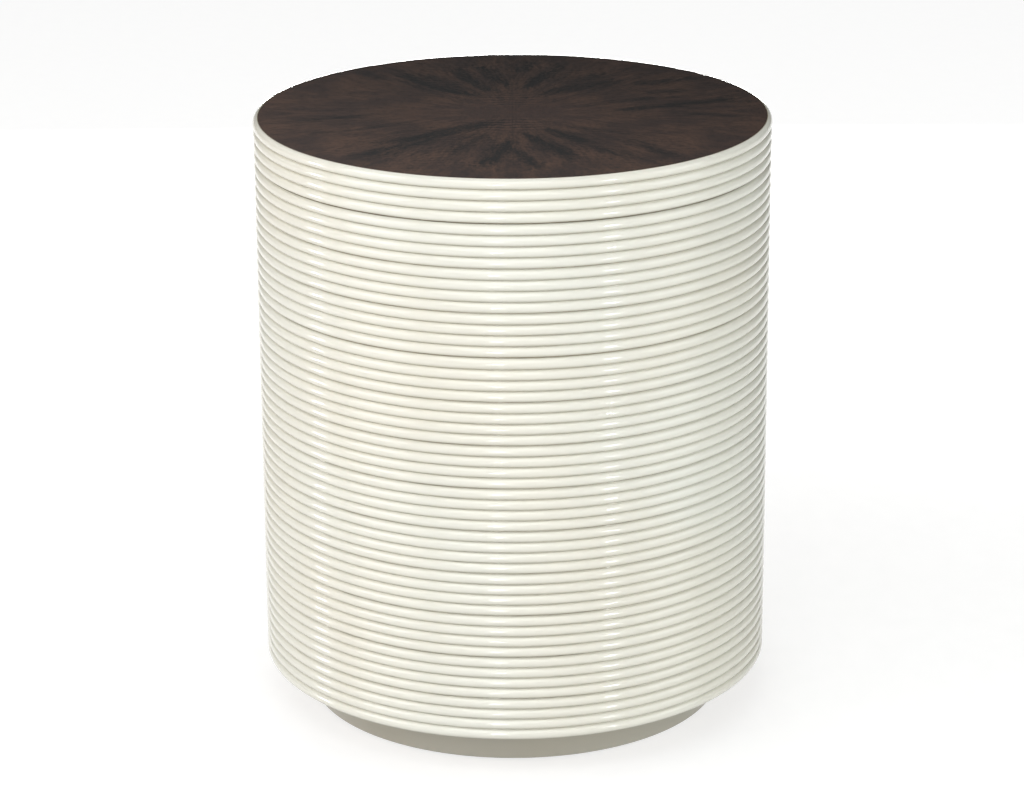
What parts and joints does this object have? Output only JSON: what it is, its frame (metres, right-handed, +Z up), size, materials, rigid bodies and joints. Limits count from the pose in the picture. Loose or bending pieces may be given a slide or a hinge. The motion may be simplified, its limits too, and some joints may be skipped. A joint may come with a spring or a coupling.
{
  "type": "drum side table",
  "caption": "Round drum side table: half-round reeded bands stacked round its side, a quarter-matched veneer top and a recessed plinth on levelling glides.",
  "frame": {"origin": "on the floor, under the middle of the drum", "axes": "+Z up along the drum's axis; the front of the table faces -Y, along the veneer's seam"},
  "size_m": [0.5079, 0.508, 0.5986],
  "materials": {
    "crotch_veneer": "dark crotch-figure veneer under satin varnish",
    "cream_lacquer": "cream lacquer, satin",
    "fibreboard": "raw fibreboard",
    "backing_veneer": "plain backing veneer, unfinished",
    "plywood": "birch plywood, unfinished",
    "poplar": "planed poplar, unfinished",
    "nylon": "moulded nylon",
    "zinc_steel": "zinc-plated steel"
  },
  "bodies": {
    "table": {"backing_veneer": "backing_veneer", "bottom_former": "plywood", "bottom_panel": "plywood", "bottom_panel_screws": "zinc_steel", "drum_skin_inner": "plywood", "drum_skin_outer": "plywood", "glide_inserts": "zinc_steel", "middle_former": "plywood", "plinth_block_1": "poplar", "plinth_block_2": "poplar", "plinth_block_3": "poplar", "plinth_block_4": "poplar", "plinth_ring": "cream_lacquer", "plinth_screws": "zinc_steel", "reeded_band_02": "cream_lacquer", "reeded_band_03": "cream_lacquer", "reeded_band_04": "cream_lacquer", "reeded_band_05": "cream_lacquer", "reeded_band_06": "cream_lacquer", "reeded_band_07": "cream_lacquer", "reeded_band_08": "cream_lacquer", "reeded_band_09": "cream_lacquer", "reeded_band_10": "cream_lacquer", "reeded_band_11": "cream_lacquer", "reeded_band_12": "cream_lacquer", "reeded_band_13": "cream_lacquer", "top_build_up_ring": "fibreboard", "top_former": "plywood", "top_panel": "fibreboard", "top_reeded_band": "cream_lacquer", "top_screws": "zinc_steel", "upright_1": "poplar", "upright_2": "poplar", "upright_3": "poplar", "upright_4": "poplar", "upright_5": "poplar", "upright_6": "poplar", "upright_dowels": "poplar", "veneer_leaf_back_left": "crotch_veneer", "veneer_leaf_back_right": "crotch_veneer", "veneer_leaf_front_left": "crotch_veneer", "veneer_leaf_front_right": "crotch_veneer"},
    "glide_1": {"glide_stem_1": "zinc_steel", "glide_foot_1": "nylon"},
    "glide_2": {"glide_stem_2": "zinc_steel", "glide_foot_2": "nylon"},
    "glide_3": {"glide_stem_3": "zinc_steel", "glide_foot_3": "nylon"},
    "glide_4": {"glide_stem_4": "zinc_steel", "glide_foot_4": "nylon"}
  },
  "joints": [
    {"name": "glide_1_adjust", "type": "slide", "parent": "table", "child": "glide_1", "axis": [0, 0, -1], "range_m": [0, 0.01]},
    {"name": "glide_2_adjust", "type": "slide", "parent": "table", "child": "glide_2", "axis": [0, 0, -1], "range_m": [0, 0.01]},
    {"name": "glide_3_adjust", "type": "slide", "parent": "table", "child": "glide_3", "axis": [0, 0, -1], "range_m": [0, 0.01]},
    {"name": "glide_4_adjust", "type": "slide", "parent": "table", "child": "glide_4", "axis": [0, 0, -1], "range_m": [0, 0.01]}
  ]
}
